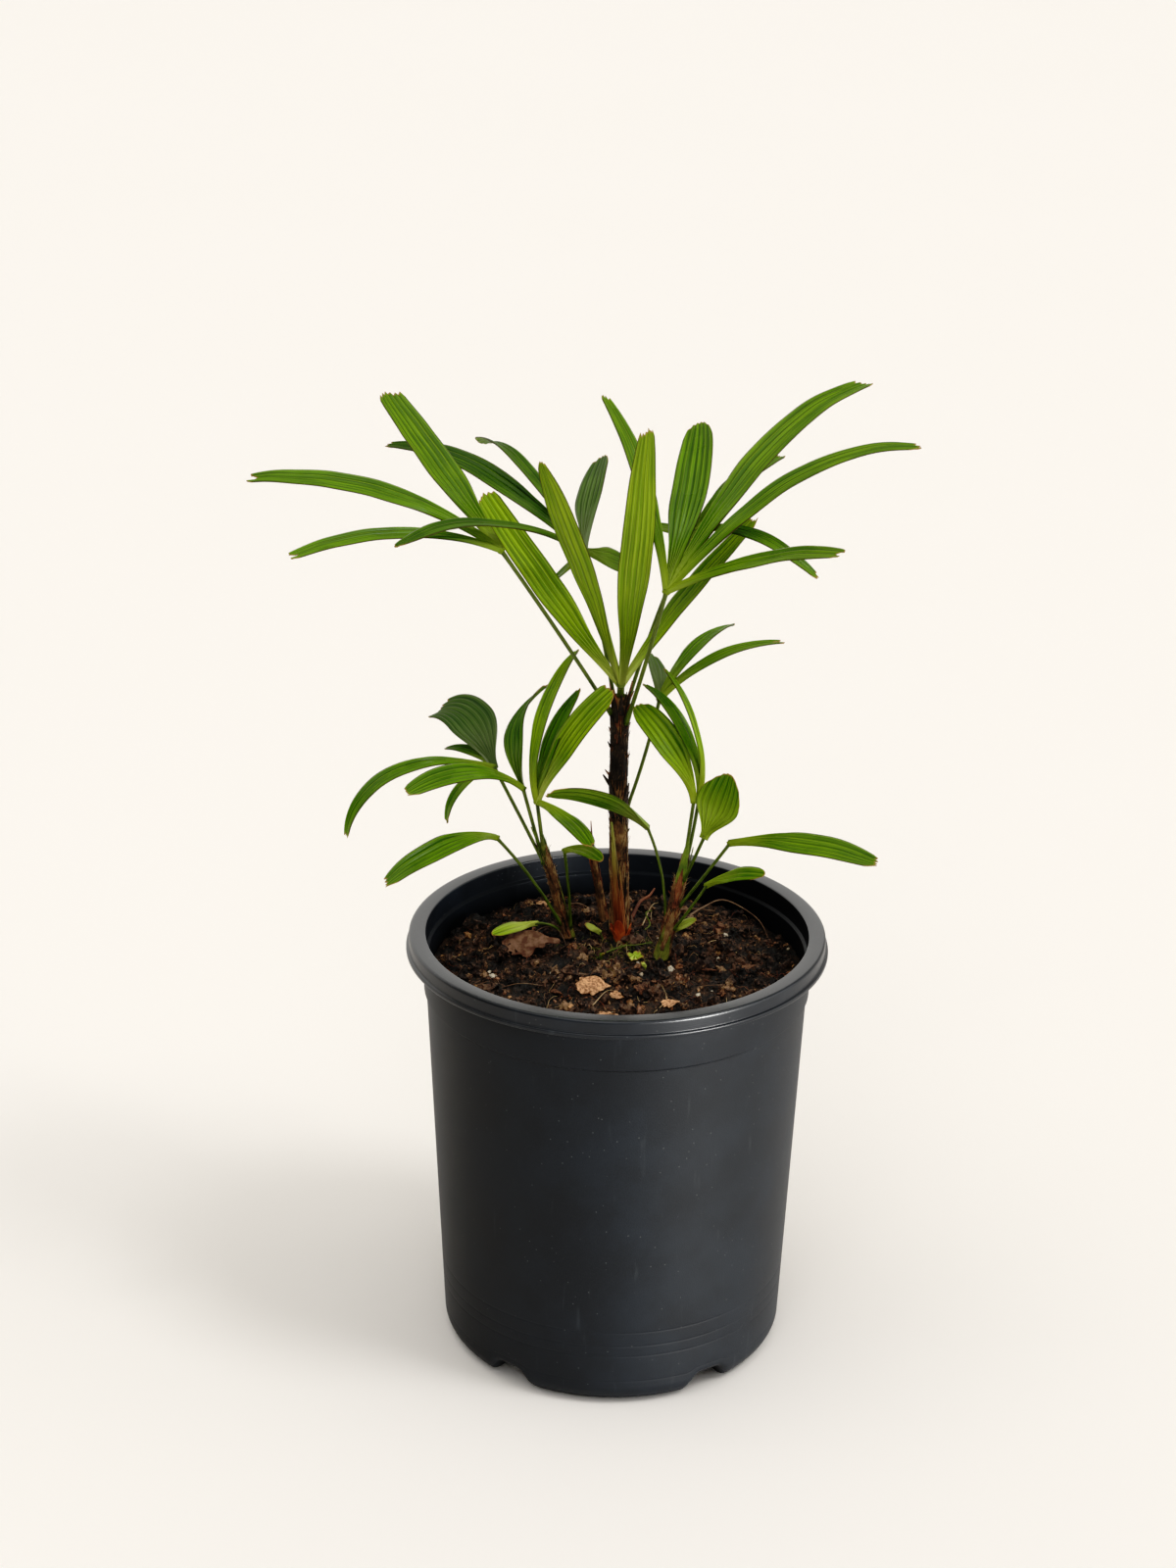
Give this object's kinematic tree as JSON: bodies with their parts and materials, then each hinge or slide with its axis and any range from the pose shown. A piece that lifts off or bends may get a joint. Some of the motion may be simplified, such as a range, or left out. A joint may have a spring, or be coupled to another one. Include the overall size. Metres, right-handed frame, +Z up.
{
  "type": "potted lady palm",
  "caption": "Young lady palm with fan fronds of blunt pleated leaflets on slender fibrous canes, in a round dark nursery pot.",
  "frame": {"origin": "centre of the pot's flat underside, on the surface that it stands on", "axes": "+Z up along the pot's axis, -Y towards the front of the plant, +X to the right when seen from the front"},
  "size_m": [0.3268, 0.2179, 0.4882],
  "materials": {
    "pot_plastic": "moulded polypropylene, satin, charcoal grey",
    "potting_mix": "rough, crumbly, moist",
    "cane_fibre": "matt fibrous leaf sheaths",
    "shoot_sheath": "smooth, slightly glossy",
    "young_leaf": "glossy, thin",
    "leaf": "glossy, pleated"
  },
  "bodies": {
    "root": {"pot": "pot_plastic", "soil": "potting_mix", "main_cane": "cane_fibre", "left_cane": "cane_fibre", "short_cane": "cane_fibre", "right_cane": "cane_fibre", "new_shoot": "shoot_sheath", "main_frond_front": "young_leaf", "main_frond_left": "leaf", "main_frond_back_left": "leaf", "main_frond_right": "leaf", "main_frond_back_right": "leaf", "main_frond_low_right": "leaf", "left_frond_top": "leaf", "left_frond_middle": "leaf", "left_frond_back": "leaf", "left_frond_outer": "leaf", "left_frond_inner": "leaf", "left_frond_low": "leaf", "right_frond_broad": "leaf", "right_frond_slender": "leaf", "right_frond_folded": "leaf", "right_frond_outer": "leaf", "right_frond_low": "leaf", "right_frond_inner": "leaf", "right_frond_sprout": "leaf"}
  },
  "joints": []
}
